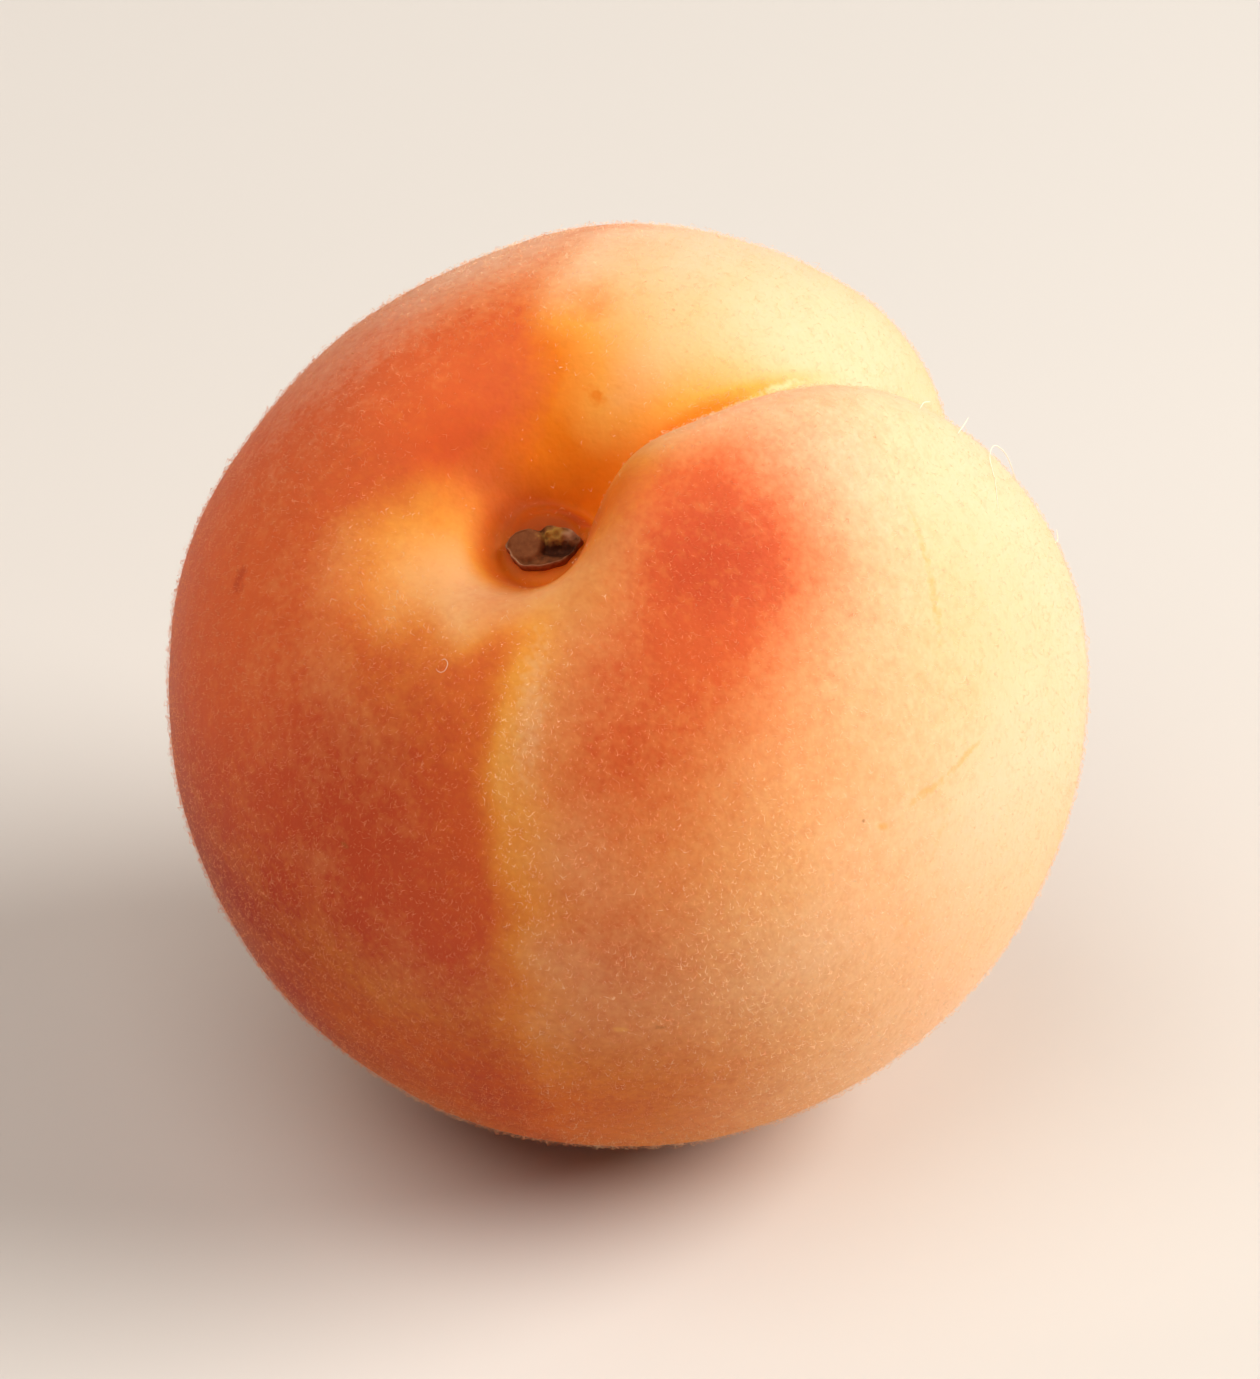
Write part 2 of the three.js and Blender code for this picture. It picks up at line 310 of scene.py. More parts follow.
def set_attribute(piece, name, values):
    """A number for each vertex, which the material reads."""
    attribute = piece.data.attributes.new(name, "FLOAT", "POINT")
    attribute.data.foreach_set("value", np.clip(values, 0, 1).astype(np.float32))


# ---- Where each colour lies on the skin ----
#
# The colours are laid out on a flat map of the fruit seen down its stem: the distance from the
# middle is the polar angle, in degrees, and the suture runs to the right. A pair of places,
# such as BAND_START, says where a colour starts and where it is whole: polar angles, unless
# its comment says otherwise. A pair called SIDE is an azimuth and a spread.

SKIN_WANDER = (15, 3)  # wavelength in mm and random seed
SKIN_RIPPLE = (4.5, 4)

# Patches: right, up, half width, half height and strength.
NEAR_BLUSH_PATCHES = (
    (15.5, -19, 12, 12, 0.9),
    (4, -29, 12, 12, 0.58),
    (-9, -37, 11, 11, 0.28),
    (10, -38, 24, 21.6, 0.3),
    (-24, -50, 11, 11, 0.35),
    (-14, -31, 9, 9, 0.45),
    (-10, -47, 9, 9, 0.12),
    (-6, -23, 5, 5, 0.25),
    (26, -26, 9, 9, 0.25),
)
FAINT_BLUSH_PATCHES = (
    (30, -8, 16, 11.2, 0.18),
    # Painted shade: the patch below darkens the red towards the bottom-left.
    (-50, -72, 34, 34, 0.65),
    (13, -8, 7, 4.2, 0.22),
    (20, -10, 8, 4.8, 0.2),
    (36, -12, 12, 8.4, 0.12),
    (-30, -38, 12, 12, 0.16),
    (-6, 14, 7, 7, 0.05),
    (3, 19, 5, 5, 0.25),
    (-10, -5, 5, 5, 0.12),
    (-10.5, -9.5, 4.5, 4.5, 0.28),
)
GOLD_PATCHES = (
    # The first five make the pit's far wall amber, partly a painted warm glow.
    (8, 10, 9, 9, 0.434),
    (3, 12, 6, 6, 0.31),
    (18, 17, 9, 9, 0.279),
    (24, 12, 14, 14, 0.2232),
    (16, 21, 7, 7, 0.186),
    (18, 22, 5, 5, 0.25),
    (9, -6, 8, 4, 0.6),
    (-9, -4, 6, 6, -0.2),
    (-14, -52, 28, 28, 0.24),
    (-12, 40, 15, 15, -0.6),
)
# Painted shade: deeper red on the left side, towards the bottom-left and in the middle of the near
# blush.
PAINTED_SHADE_DEEP_PATCHES = (
    (15, -21, 8, 8, 0.32),
    (-38, -10, 14, 14, 0.3),
    (-74, -16, 26, 26, 0.22),
    (-58, -66, 24, 24, 0.3),
    (-54, -16, 20, 20, 0.15),
)
# Painted shade: dark brown on the pit's far wall above the scar.
PAINTED_SHADE_RUSSET_PATCHES = (
    (1, 15, 5.5, 5.5, 0.4),
    (3, 9, 5, 5, 0.6),
    (9, 6, 4, 4, 0.35),
)
# Painted shade: the skin darkened on the pit's walls and on the bright slope and lip beside the pit.
PAINTED_SHADE_PATCHES = (
    (0, 15, 8.5, 8.5, 0.85),
    (4, 5, 5, 5, 0.8),
    (-7, -4, 5, 5, 0.25),
    (-17, 1, 8, 8, 0.18),
    (-8, -9, 5, 5, 0.14),
)
PALE_HIGHLIGHT_SPOT = (-12, 2, 8, 8, 0.9)  # beside the pit, where the cheek's slope stays pale: partly unblushed skin, partly a painted highlight
BLUSH_FREE_HIGHLIGHT_SPOT = (-11, 4, 8, 8, 1.0)  # the same place, where the thin blush round the pit is missing, which keeps the painted highlight pale

# Sides: azimuth, spread, the polar angles where it starts and is whole, and strength.
FAR_TOP = (64, 26, 30, 52, 1.0)
CHEEK_GAPS = (
    (64, 26, 30, 52, 0.6),
    (100, 30, 24, 46, 0.44),
    (-140, 26, 50, 70, 0.5),
    (-155, 20, 30, 20, 0.15),
    (170, 45, 45, 30, 0.18),
)
THIN_BLUSH_SIDE = (118, 38, 9, 15, 0.3)
# More golden towards the bottom-left, partly painted shade.
LOW_GOLD_AND_SHADE_SIDE = (-148, 38, 55, 90, 0.9)
# Painted shade: deeper red on the left side and towards the bottom-left.
PAINTED_SHADE_DEEP_SIDES = (
    (-172, 60, 35, 85, 0.55),
    (-145, 40, 55, 80, 0.35),
    (180, 60, 62, 85, 0.3),
)

# The pale band runs from the front of the pit between the two blushes. Places across it are in
# degrees and grow towards the near lobe.
BAND_THROUGH = (-14, -20)
BAND_SLOPE = 0.77
BAND_STRETCH = 1.26
BAND_RAGGEDNESS = 0.6
BAND_BEND = 4  # how far it bends towards the near lobe further out
BAND_BEND_PLACE = (30, 55)
BAND_GOLD = 0.45
BAND_MIDDLE = (-2, 6.5)  # place across and spread
BAND_START = (9, 18)
BAND_END = (85, 50)
BAND_RIGHT_END = (8, 0)  # rights
BAND_BLUR = 5  # how much softer both blushes' edges get
BAND_BLUR_PLACE = (35, 70)
CHEEK_SIDE_OF_BAND = (-2, -7.5)  # places across
NEAR_SIDE_OF_BAND = (-2.5, 4)
NEAR_BLUSH_TOP = (-3, -11)  # ups

# The cheek's blush: its edge on the far lobe, and its edge round the pit.
FAR_EDGE = 49  # azimuth
FAR_EDGE_LEAN = 0.25  # degrees of azimuth for each degree of polar angle
FAR_EDGE_LEAN_FROM = 47  # polar angle
FAR_EDGE_LEAN_LENGTH = 30
FAR_EDGE_RAGGEDNESS = 3.2
FAR_EDGE_SOFTNESS = 4
FAR_EDGE_SOFTER_AT_STEM = 120  # divided by the polar angle, or by the next number
FAR_EDGE_SOFTEST = 12
FAR_EDGE_SOFTER_OUTSIDE = 5
FAR_EDGE_OUTSIDE = (30, 46)
FAR_EDGE_SOFTER_BEHIND = 9
FAR_EDGE_BEHIND = (70, 110)
PIT_EDGE = 15.5  # polar angle
PIT_EDGE_CHANGES = [(-3.5, 95, 30), (2.5, 150, 20), (1.2, -168, 22)]
PIT_EDGE_RAGGEDNESS = 0.8
PIT_EDGE_SOFTNESS = 6
PIT_EDGE_SOFTNESS_CHANGES = [(9, 145, 38)]
CHEEK_TIP_FADE = (92, 135)
CHEEK_TIP_FADE_SHARE = 0.8
CHEEK_TIP_WANDER = 8
CHEEK_STRENGTH = 0.94
CHEEK_RIPPLE = 0.035

# Gold in the pit, in the suture and along the cheek's far edge.
GOLD_EVERYWHERE = 0.1
PIT_GOLD = 0.8
PIT_GOLD_RADIUS = 15  # polar angle
PIT_GOLD_PROFILE = 2.5
PIT_GOLD_LEAST = 0.35  # share of it that is on every side
PIT_GOLD_SIDE = (45, 80)
# Partly painted shade: a darker orange line along the suture's crease and its valley.
SUTURE_GOLD = (
    # Up and spread, the rights where it starts and is whole, the same for polar angles, strength.
    (1.6, 1.8, (0, 8), (62, 34), 0.5),
    (4, 4.5, (4, 12), (50, 28), 0.4),
)
SLOPE_GOLD = 0.45
SLOPE_SIDE = (140, 75)
SLOPE_PLACE = (17, 11)  # polar angle and spread
SEAM_GOLD = 0.12
SEAM_PLACE = (-10, 16)  # azimuth from the cheek's far edge, and spread
SEAM_FADE = (70, 45)
FAR_TOP_PALING = 0.3
GOLD_UNDER_CHEEK = 0.5
GOLD_UNDER_NEAR_BLUSH = 0.35
TIP_GOLD = 0.25
TIP_PLACE = (110, 165)
GOLD_WANDER = 0.05

# Round the scar: brown, painted shade and a painted warm glow, each placed by which side of the pit
# lies in shade.
SHADED_SIDE = (-120, 65)
LEFT_SIDE = (180, 60)
# Amber and red painted on the pit's shaded and left sides: a painted warm glow in the shade.
RING_GLOW_GOLD = 0.9
RING_GLOW_GOLD_PLACE = (12, 7)
RING_GLOW_BLUSH = 0.3
RING_GLOW_BLUSH_PLACE = (11, 8)
# Brown round the scar, strongest on the pit's lit side: partly the scar's own brown, partly painted
# shade.
RING_RUSSET_AND_SHADE_PLACE = (10.5, 6.5)
RING_RUSSET_AND_SHADE_SHADED = 0.8  # share of it missing on the shaded side
# Painted shade on the pit's lit side, next to the scar.
RING_PAINTED_SHADE = 0.5
RING_PAINTED_SHADE_PLACE = (12, 8)

DEEP_EVERYWHERE = 0.15
DEEP_IN_NEAR_BLUSH = 0.06

BARE_EDGE = (24, 12)  # polar angles where the fuzz gets thin and where it is thinnest
BARE_FAR_SIDE = (45, 60)
BARE_FAR_SHIFT = (12, 10)


class SkinMap:
    """Points laid out on the flat map, and the shapes that the colours are drawn in."""

    def __init__(self, points):
        x, y, z = points.T
        self.azimuth = np.arctan2(y, x)
        self.around = np.degrees(self.azimuth) % 360
        self.polar = np.degrees(np.arctan2(np.hypot(x, y), z))
        self.right = self.polar * np.cos(self.azimuth)
        self.up = self.polar * np.sin(self.azimuth)
        self.wander = waves(points, *SKIN_WANDER)
        self.ripple = waves(points, *SKIN_RIPPLE)

    def out(self, start, whole):
        return ramp(start, whole, self.polar)

    def facing(self, azimuth, spread):
        return facing(self.azimuth, azimuth, spread)

    def patches(self, *rows):
        """The soft ovals of a table, added up."""
        total = 0
        for right, up, half_width, half_height, strength in rows:
            away = ((self.right - right) / half_width) ** 2 + ((self.up - up) / half_height) ** 2
            total = total + strength * np.exp(-away)
        return total

    def sides(self, *rows):
        """A table of colours that each lie on one side, from some way out."""
        total = 0
        for azimuth, spread, start, whole, strength in rows:
            total = total + strength * self.facing(azimuth, spread) * self.out(start, whole)
        return total


def place_across_band(at):
    right, up = BAND_THROUGH
    across = (BAND_SLOPE * (at.right - right) - (at.up - up)) / BAND_STRETCH
    return across + BAND_RAGGEDNESS * at.ripple - BAND_BEND * at.out(*BAND_BEND_PLACE)


def cheek_far_edge(at):
    """The azimuth of the cheek's edge on the far lobe."""
    lean = FAR_EDGE_LEAN * np.clip(FAR_EDGE_LEAN_FROM - at.polar, 0, FAR_EDGE_LEAN_LENGTH)
    return FAR_EDGE + lean + FAR_EDGE_RAGGEDNESS * at.ripple


def cheek_blush(at, across):
    """The red of the cheek opposite the suture, from the far lobe round to the band."""
    edge = cheek_far_edge(at)
    soft = FAR_EDGE_SOFTNESS + FAR_EDGE_SOFTER_AT_STEM / np.maximum(at.polar, FAR_EDGE_SOFTEST)
    soft = soft + FAR_EDGE_SOFTER_OUTSIDE * at.out(*FAR_EDGE_OUTSIDE)
    soft = soft + FAR_EDGE_SOFTER_BEHIND * at.out(*FAR_EDGE_BEHIND)
    cheek = np.where(at.up > 0, ramp(edge - soft, edge + soft, at.around), 1)
    blur = BAND_BLUR * at.out(*BAND_BLUR_PLACE)
    none, whole = CHEEK_SIDE_OF_BAND
    cheek = cheek * ramp(none + blur, whole - blur, across)
    start = varied(PIT_EDGE, PIT_EDGE_CHANGES, at.azimuth) + PIT_EDGE_RAGGEDNESS * at.ripple
    softness = varied(PIT_EDGE_SOFTNESS, PIT_EDGE_SOFTNESS_CHANGES, at.azimuth)
    cheek = cheek * ramp(start, start + softness, at.polar)
    for gap in CHEEK_GAPS:
        cheek = cheek * (1 - at.sides(gap))
    tip = ramp(*CHEEK_TIP_FADE, at.polar + CHEEK_TIP_WANDER * at.wander)
    return cheek * (1 - CHEEK_TIP_FADE_SHARE * tip) * (CHEEK_STRENGTH + CHEEK_RIPPLE * at.ripple)


def near_blush(at, across):
    """The near lobe's own blush, below its edge."""
    blur = BAND_BLUR * at.out(*BAND_BLUR_PLACE)
    none, whole = NEAR_SIDE_OF_BAND
    kept = ramp(none - blur, whole + blur, across) * ramp(*NEAR_BLUSH_TOP, at.up)
    return at.patches(*NEAR_BLUSH_PATCHES) * kept


def golden_ground(at, across):
    """How golden the ground is, apart from under the blushes and round the scar."""
    # The pit is most amber on its far wall, partly a painted warm glow.
    far_wall_glow = PIT_GOLD_LEAST + (1 - PIT_GOLD_LEAST) * at.facing(*PIT_GOLD_SIDE)
    gold = PIT_GOLD * np.exp(-((at.polar / PIT_GOLD_RADIUS) ** PIT_GOLD_PROFILE)) * far_wall_glow
    band = bell(across, *BAND_MIDDLE) * at.out(*BAND_START) * at.out(*BAND_END)
    gold = gold + BAND_GOLD * band * ramp(*BAND_RIGHT_END, at.right)
    for up, spread, from_right, out, strength in SUTURE_GOLD:
        gold = gold + strength * bell(at.up, up, spread) * ramp(*from_right, at.right) * at.out(*out)
    slope = at.facing(*SLOPE_SIDE) * bell(at.polar, *SLOPE_PLACE) * (1 - at.patches(PALE_HIGHLIGHT_SPOT))
    from_edge, spread = SEAM_PLACE
    seam = bell(at.around, cheek_far_edge(at) + from_edge, spread) * at.out(*SEAM_FADE)
    gold = gold + SLOPE_GOLD * slope + SEAM_GOLD * seam + at.sides(LOW_GOLD_AND_SHADE_SIDE)
    gold = gold - FAR_TOP_PALING * at.sides(FAR_TOP) + TIP_GOLD * at.out(*TIP_PLACE)
    return GOLD_EVERYWHERE + gold + at.patches(*GOLD_PATCHES) + GOLD_WANDER * at.wander


def skin_masks(points):
    """How strong each colour is at each point, 0 to 1. The masks, in order: the blush over the
    ground;
    gold, from cream to amber; the blush's darkening from orange to dark red, partly painted shade
    on the left and towards the bottom-left; brown round the scar, with painted shade on the pit's
    far wall; painted shade that darkens the skin, most of all on the pit's walls; and where the
    fuzz is thin."""
    at = SkinMap(points)
    across = place_across_band(at)
    cheek = cheek_blush(at, across)
    near = near_blush(at, across)
    shaded = at.facing(*SHADED_SIDE)
    ring = np.maximum(shaded, at.facing(*LEFT_SIDE))
    thin = at.sides(THIN_BLUSH_SIDE) * (1 - at.patches(BLUSH_FREE_HIGHLIGHT_SPOT))
    under = GOLD_UNDER_CHEEK * cheek + GOLD_UNDER_NEAR_BLUSH * near
    far_side = at.facing(*BARE_FAR_SIDE)
    bare_edge = [place + shift * far_side for place, shift in zip(BARE_EDGE, BARE_FAR_SHIFT)]
    # Round the scar: brown and painted shade on the lit side, a painted warm glow on the shaded and
    # left sides.
    ring_russet_and_shade = at.out(*RING_RUSSET_AND_SHADE_PLACE) * (1 - RING_RUSSET_AND_SHADE_SHADED * shaded)
    ring_painted_shade = RING_PAINTED_SHADE * at.out(*RING_PAINTED_SHADE_PLACE) * (1 - shaded)
    ring_glow_gold = RING_GLOW_GOLD * at.out(*RING_GLOW_GOLD_PLACE) * ring
    ring_glow_blush = RING_GLOW_BLUSH * at.out(*RING_GLOW_BLUSH_PLACE) * ring
    # Deeper red, partly painted shade on the left side and towards the bottom-left.
    deep_and_shade = DEEP_EVERYWHERE + at.sides(*PAINTED_SHADE_DEEP_SIDES) + DEEP_IN_NEAR_BLUSH * near
    return {
        "blush": cheek + near + at.patches(*FAINT_BLUSH_PATCHES) + thin + ring_glow_blush,
        "gold": golden_ground(at, across) + under + ring_glow_gold,
        "deep_and_shade": deep_and_shade + at.patches(*PAINTED_SHADE_DEEP_PATCHES),
        "russet_and_shade": ring_russet_and_shade + at.patches(*PAINTED_SHADE_RUSSET_PATCHES),
        "painted_shade": ring_painted_shade + at.patches(*PAINTED_SHADE_PATCHES),
        "bare": ramp(*bare_edge, at.polar),
    }


# ---- Node materials ----

# In widths of the stroke: where its edge starts and is whole, and its least half length.
STROKE_EDGE = (1.1, 0.3)
STROKE_SHORTEST = 0.4


class Shade:
    """A node material, with one short call for each kind of node."""

    def __init__(self, name):
        self.material = bpy.data.materials.new(name)
        self.material.use_nodes = True
        self.tree = self.material.node_tree
        self.shader = self.tree.nodes["Principled BSDF"]
        self.place = self.add("ShaderNodeTexCoord").outputs["Object"]

    def add(self, kind, **settings):
        node = self.tree.nodes.new(kind)
        for key, value in settings.items():
            setattr(node, key, value)
        return node

    def put(self, socket, value):
        if isinstance(value, bpy.types.NodeSocket):
            self.tree.links.new(value, socket)
        else:
            socket.default_value = value

    def attribute(self, name):
        return self.add("ShaderNodeAttribute", attribute_name=name).outputs["Fac"]

    def math(self, operation, first, second=0.0):
        node = self.add("ShaderNodeMath", operation=operation)
        self.put(node.inputs[0], first)
        self.put(node.inputs[1], second)
        return node.outputs[0]

    def vector(self, operation, *vectors):
        node = self.add("ShaderNodeVectorMath", operation=operation)
        for socket, value in zip(node.inputs, vectors):
            self.put(socket, value)
        return node.outputs["Value" if operation in ("LENGTH", "DOT_PRODUCT") else "Vector"]

    def sum(self, *terms):
        total = terms[0]
        for term in terms[1:]:
            total = self.math("ADD", total, term)
        return total

    def noise(self, millimetres, detail, roughness=0.5):
        """Noise from 0 to 1 whose features are about this size."""
        node = self.add("ShaderNodeTexNoise")
        self.put(node.inputs["Vector"], self.place)
        self.put(node.inputs["Scale"], 1 / (millimetres * MM))
        self.put(node.inputs["Detail"], detail)
        self.put(node.inputs["Roughness"], roughness)
        return node.outputs["Fac"]

    def uneven(self, millimetres, detail, amount, roughness=0.5):
        """Noise from -amount to amount."""
        noise = self.noise(millimetres, detail, roughness)
        return self.math("MULTIPLY", self.math("SUBTRACT", noise, 0.5), 2 * amount)

    def range(self, value, start, end, low=0.0, high=1.0):
        node = self.add("ShaderNodeMapRange")
        self.put(node.inputs["Value"], value)
        self.put(node.inputs["From Min"], start)
        self.put(node.inputs["From Max"], end)
        self.put(node.inputs["To Min"], low)
        self.put(node.inputs["To Max"], high)
        return node.outputs["Result"]

    def colours(self, value, *stops):
        """A colour for a value: stops are (position, (r, g, b)), linear."""
        node = self.add("ShaderNodeValToRGB")
        ramp_stops = node.color_ramp.elements
        while len(ramp_stops) < len(stops):
            ramp_stops.new(0.5)
        for stop, (position, colour) in zip(ramp_stops, stops):
            stop.position = position
            stop.color = (*colour, 1)
        self.put(node.inputs["Fac"], value)
        return node.outputs["Color"]

    def mix(self, amount, first, second, blend="MIX"):
        node = self.add("ShaderNodeMix", data_type="RGBA", blend_type=blend)
        self.put(node.inputs["Factor"], amount)
        self.put(node.inputs["A"], (*first, 1) if isinstance(first, tuple) else first)
        self.put(node.inputs["B"], (*second, 1) if isinstance(second, tuple) else second)
        return node.outputs["Result"]

    def stroke(self, start, end, width, strength, ragged):
        """A mark between two places on the skin, as strong as asked along its middle, with its
        edge moved in and out by a value from the caller."""
        first, last = (Vector(to_row(skin_at(*place))) for place in (start, end))
        width = width * MM
        half = max((last - first).length / 2, STROKE_SHORTEST * width) + width / 2
        ahead = (last - first).normalized()
        away = self.vector("SUBTRACT", self.place, (first + last) / 2)
        along = self.vector("DOT_PRODUCT", away, ahead)
        squeezed = self.vector("MULTIPLY_ADD", along, ahead * (width / half - 1), away)
        distance = self.sum(self.vector("LENGTH", squeezed), self.math("MULTIPLY", ragged, width))
        outside, whole = STROKE_EDGE
        return self.range(distance, outside * width, whole * width, 0, strength)

    def bump(self, height, millimetres, strength=1.0):
        node = self.add("ShaderNodeBump")
        self.put(node.inputs["Strength"], strength)
        self.put(node.inputs["Distance"], millimetres * MM)
        self.put(node.inputs["Height"], height)
        self.put(self.shader.inputs["Normal"], node.outputs["Normal"])


CREAM = (0.89, 0.555, 0.35)
PEACH = (0.88, 0.45, 0.18)
GOLD = (0.90, 0.35, 0.05)
AMBER = (0.82, 0.20, 0.004)
ORANGE_BLUSH = (0.76, 0.136, 0.028)
RED_BLUSH = (0.57, 0.068, 0.019)
DEEP_BLUSH = (0.42, 0.024, 0.004)
# Brown round the scar, also used as painted shade on the pit's far wall.
RUSSET_AND_SHADE = (0.57, 0.135, 0.004)
# The tint by which painted shade multiplies the skin.
PAINTED_SHADE_TINT = (0.66, 0.42, 0.14)
CREAM_MARK = (0.95, 0.70, 0.42)
TAN_MARK = (0.80, 0.36, 0.09)
BROWN_MARK = (0.36, 0.12, 0.025)
FIBRE = (0.95, 0.82, 0.66)
PALE_FUZZ = (0.92, 0.54, 0.30)
BLUSH_FUZZ = (0.80, 0.31, 0.12)
PALE_CURLS = (0.95, 0.64, 0.40)
BLUSH_CURLS = (0.85, 0.34, 0.16)

# Small blemishes: start and end on the skin (polar angle, azimuth), width in mm, colour, strength.
SKIN_MARKS = (
    ((52, -39), (56.5, -50), 0.3, TAN_MARK, 0.55),
    ((50, -33), (53, -41), 0.25, TAN_MARK, 0.35),
    ((63.5, -73), (66.5, -66), 0.28, TAN_MARK, 0.55),
    ((66.5, -66), (69, -59), 0.22, TAN_MARK, 0.5),
    ((70, -70), (79.8, -86), 0.3, TAN_MARK, 0.3),
    ((59.8, -78.9), (60, -78.7), 0.13, BROWN_MARK, 0.6),
    ((62.1, -77.7), (63.5, -77), 0.2, TAN_MARK, 0.7),
    ((72, -117.5), (72.4, -116.5), 0.18, BROWN_MARK, 0.7),
    ((71, -123), (71.4, -121), 0.22, TAN_MARK, 0.7),
    ((48.2, -163), (48.6, -162), 0.24, BROWN_MARK, 0.6),
    ((41, 143), (42.5, 146.5), 0.55, DEEP_BLUSH, 0.5),
    ((18, -118), (34, -127.5), 0.8, CREAM_MARK, 0.2),
    ((24, 36), (23.2, 30), 0.4, AMBER, 0.8),
    ((40, 1.5), (48, 1.8), 0.22, CREAM_MARK, 0.45),
    # Partly painted shade: a darker line in the suture's crease.
    ((30, 4), (38, 1.5), 0.22, AMBER, 0.7),
    ((60, 75), (61, 76), 0.3, TAN_MARK, 0.5),
    ((72, 95), (72.8, 96.5), 0.3, BROWN_MARK, 0.5),
    ((88, 120), (88.5, 121.5), 0.25, BROWN_MARK, 0.5),
    ((100, 70), (106, 66), 0.35, TAN_MARK, 0.5),
    ((96, 35), (104, 38), 0.3, TAN_MARK, 0.45),
    ((112, 150), (113, 152), 0.3, BROWN_MARK, 0.5),
    ((108, -60), (112, -66), 0.3, TAN_MARK, 0.4),
)

# Uneven colour: the size of its features in mm, the noise's detail and how strong it is.
BLOTCHES = (5.5, 1, 0.05)
MOTTLES = (1.0, 3, 0.19)
MOTTLE_ROUGHNESS = 0.65
FLECKS = (0.34, 1, 0.16)
RUSSET_AND_SHADE_FLECKS = (0.7, 1, 0.3)
RAGGED_MARKS = (0.35, 1, 0.9)
SKIN_GRAIN = (0.3, 1)  # size in mm and detail
SKIN_GRAIN_BUMP = (0.05, 0.5)  # height in mm and strength
MOTTLE_IN_GOLD = 0.25
MOTTLE_IN_DEEP = 0.6

GROUND_COLOURS = ((0.0, CREAM), (0.33, PEACH), (0.66, GOLD), (1.0, AMBER))
BLUSH_COLOURS = ((0.0, ORANGE_BLUSH), (0.45, RED_BLUSH), (1.0, DEEP_BLUSH))

# Strengths where a colour starts and is whole, and how far it then covers: low and high.
BLUSH_COVER = (0.04, 1.0, 0, 0.97)
RUSSET_AND_SHADE_COVER = (0.15, 1.0, 0, 0.8)


def skin_material():
    shade = Shade("apricot_skin")
    blotch = shade.uneven(*BLOTCHES)
    mottle = shade.uneven(*MOTTLES, roughness=MOTTLE_ROUGHNESS)
    fleck = shade.uneven(*FLECKS)

    gold_mottle = shade.math("MULTIPLY", mottle, MOTTLE_IN_GOLD)
    gold = shade.sum(shade.attribute("gold"), blotch, gold_mottle)
    ground = shade.colours(gold, *GROUND_COLOURS)

    blush = shade.sum(shade.attribute("blush"), blotch, mottle, fleck)
    amount = shade.range(blush, *BLUSH_COVER)
    # Deeper red, partly painted shade.
    deep_and_shade = shade.sum(shade.attribute("deep_and_shade"), shade.math("MULTIPLY", mottle, MOTTLE_IN_DEEP))
    red = shade.colours(deep_and_shade, *BLUSH_COLOURS)
    colour = shade.mix(amount, ground, red)
    # Brown round the scar, and painted shade on the pit's walls.
    russet_and_shade = shade.sum(shade.attribute("russet_and_shade"), shade.uneven(*RUSSET_AND_SHADE_FLECKS))
    colour = shade.mix(shade.range(russet_and_shade, *RUSSET_AND_SHADE_COVER), colour, RUSSET_AND_SHADE)
    # Painted shade: the skin multiplied darker, most of all on the pit's walls.
    colour = shade.mix(shade.range(shade.attribute("painted_shade"), 0, 1), colour, PAINTED_SHADE_TINT, "MULTIPLY")
    ragged = shade.uneven(*RAGGED_MARKS)
    for start, end, width, tint, strength in SKIN_MARKS:
        colour = shade.mix(shade.stroke(start, end, width, strength, ragged), colour, tint)

    shade.put(shade.shader.inputs["Base Color"], colour)
    shade.bump(shade.noise(*SKIN_GRAIN), *SKIN_GRAIN_BUMP)
    shade.shader.inputs["Roughness"].default_value = 0.58
    shade.shader.inputs["Specular IOR Level"].default_value = 0.14
    shade.shader.subsurface_method = "BURLEY"
    shade.shader.inputs["Subsurface Weight"].default_value = 0.65
    shade.shader.inputs["Subsurface Radius"].default_value = (1.0, 0.32, 0.10)
    shade.shader.inputs["Subsurface Scale"].default_value = 4 * MM
    shade.shader.inputs["Sheen Weight"].default_value = 0.09
    shade.shader.inputs["Sheen Roughness"].default_value = 0.4
    shade.shader.inputs["Sheen Tint"].default_value = (1, 0.74, 0.55, 1)
    return shade.material


# ---- The skin ----

MAP_HALF = 0.495  # half the UV map's width, with a margin round it


def bake_map(piece, directions):
    """A UV map for baking: a square whose middle diamond is the stem's half of the fruit, with
    the other half folded into its corners. A face's own middle says which corner it is in."""
    mesh = piece.data
    corners = np.empty(len(mesh.loops), np.int32)
    mesh.loops.foreach_get("vertex_index", corners)
    starts = np.empty(len(mesh.polygons), np.int32)
    sizes = np.empty(len(mesh.polygons), np.int32)
    mesh.polygons.foreach_get("loop_start", starts)
    mesh.polygons.foreach_get("loop_total", sizes)
    face = np.repeat(np.arange(len(sizes)), sizes)
    middle = np.stack([np.bincount(face, directions[corners, k]) for k in range(3)], -1)
    side = np.where(middle[face] < 0, -1.0, 1.0)
    near = directions[corners] / np.abs(directions[corners]).sum(1, keepdims=True)
    flat = near[:, :2].copy()
    folded = (1 - np.abs(near[:, 1::-1])) * side[:, :2]
    behind = middle[face, 2] < 0
    flat[behind] = folded[behind]
    layer = mesh.uv_layers.new(name="OFBake")
    layer.data.foreach_set("uv", (0.5 + MAP_HALF * flat).astype(np.float32).ravel())


# Slight unevenness of the fine skin: wavelength and height in mm, and the random seed.
SKIN_LUMPS = ((12, 0.06, 21), (3.5, 0.008, 22))
SMOOTH_CENTRE = (1.5, 6)  # distances from the stem axis between which it comes in
TO_POLE = 1e-4  # how near the first and last points come to the stem axis, in radians


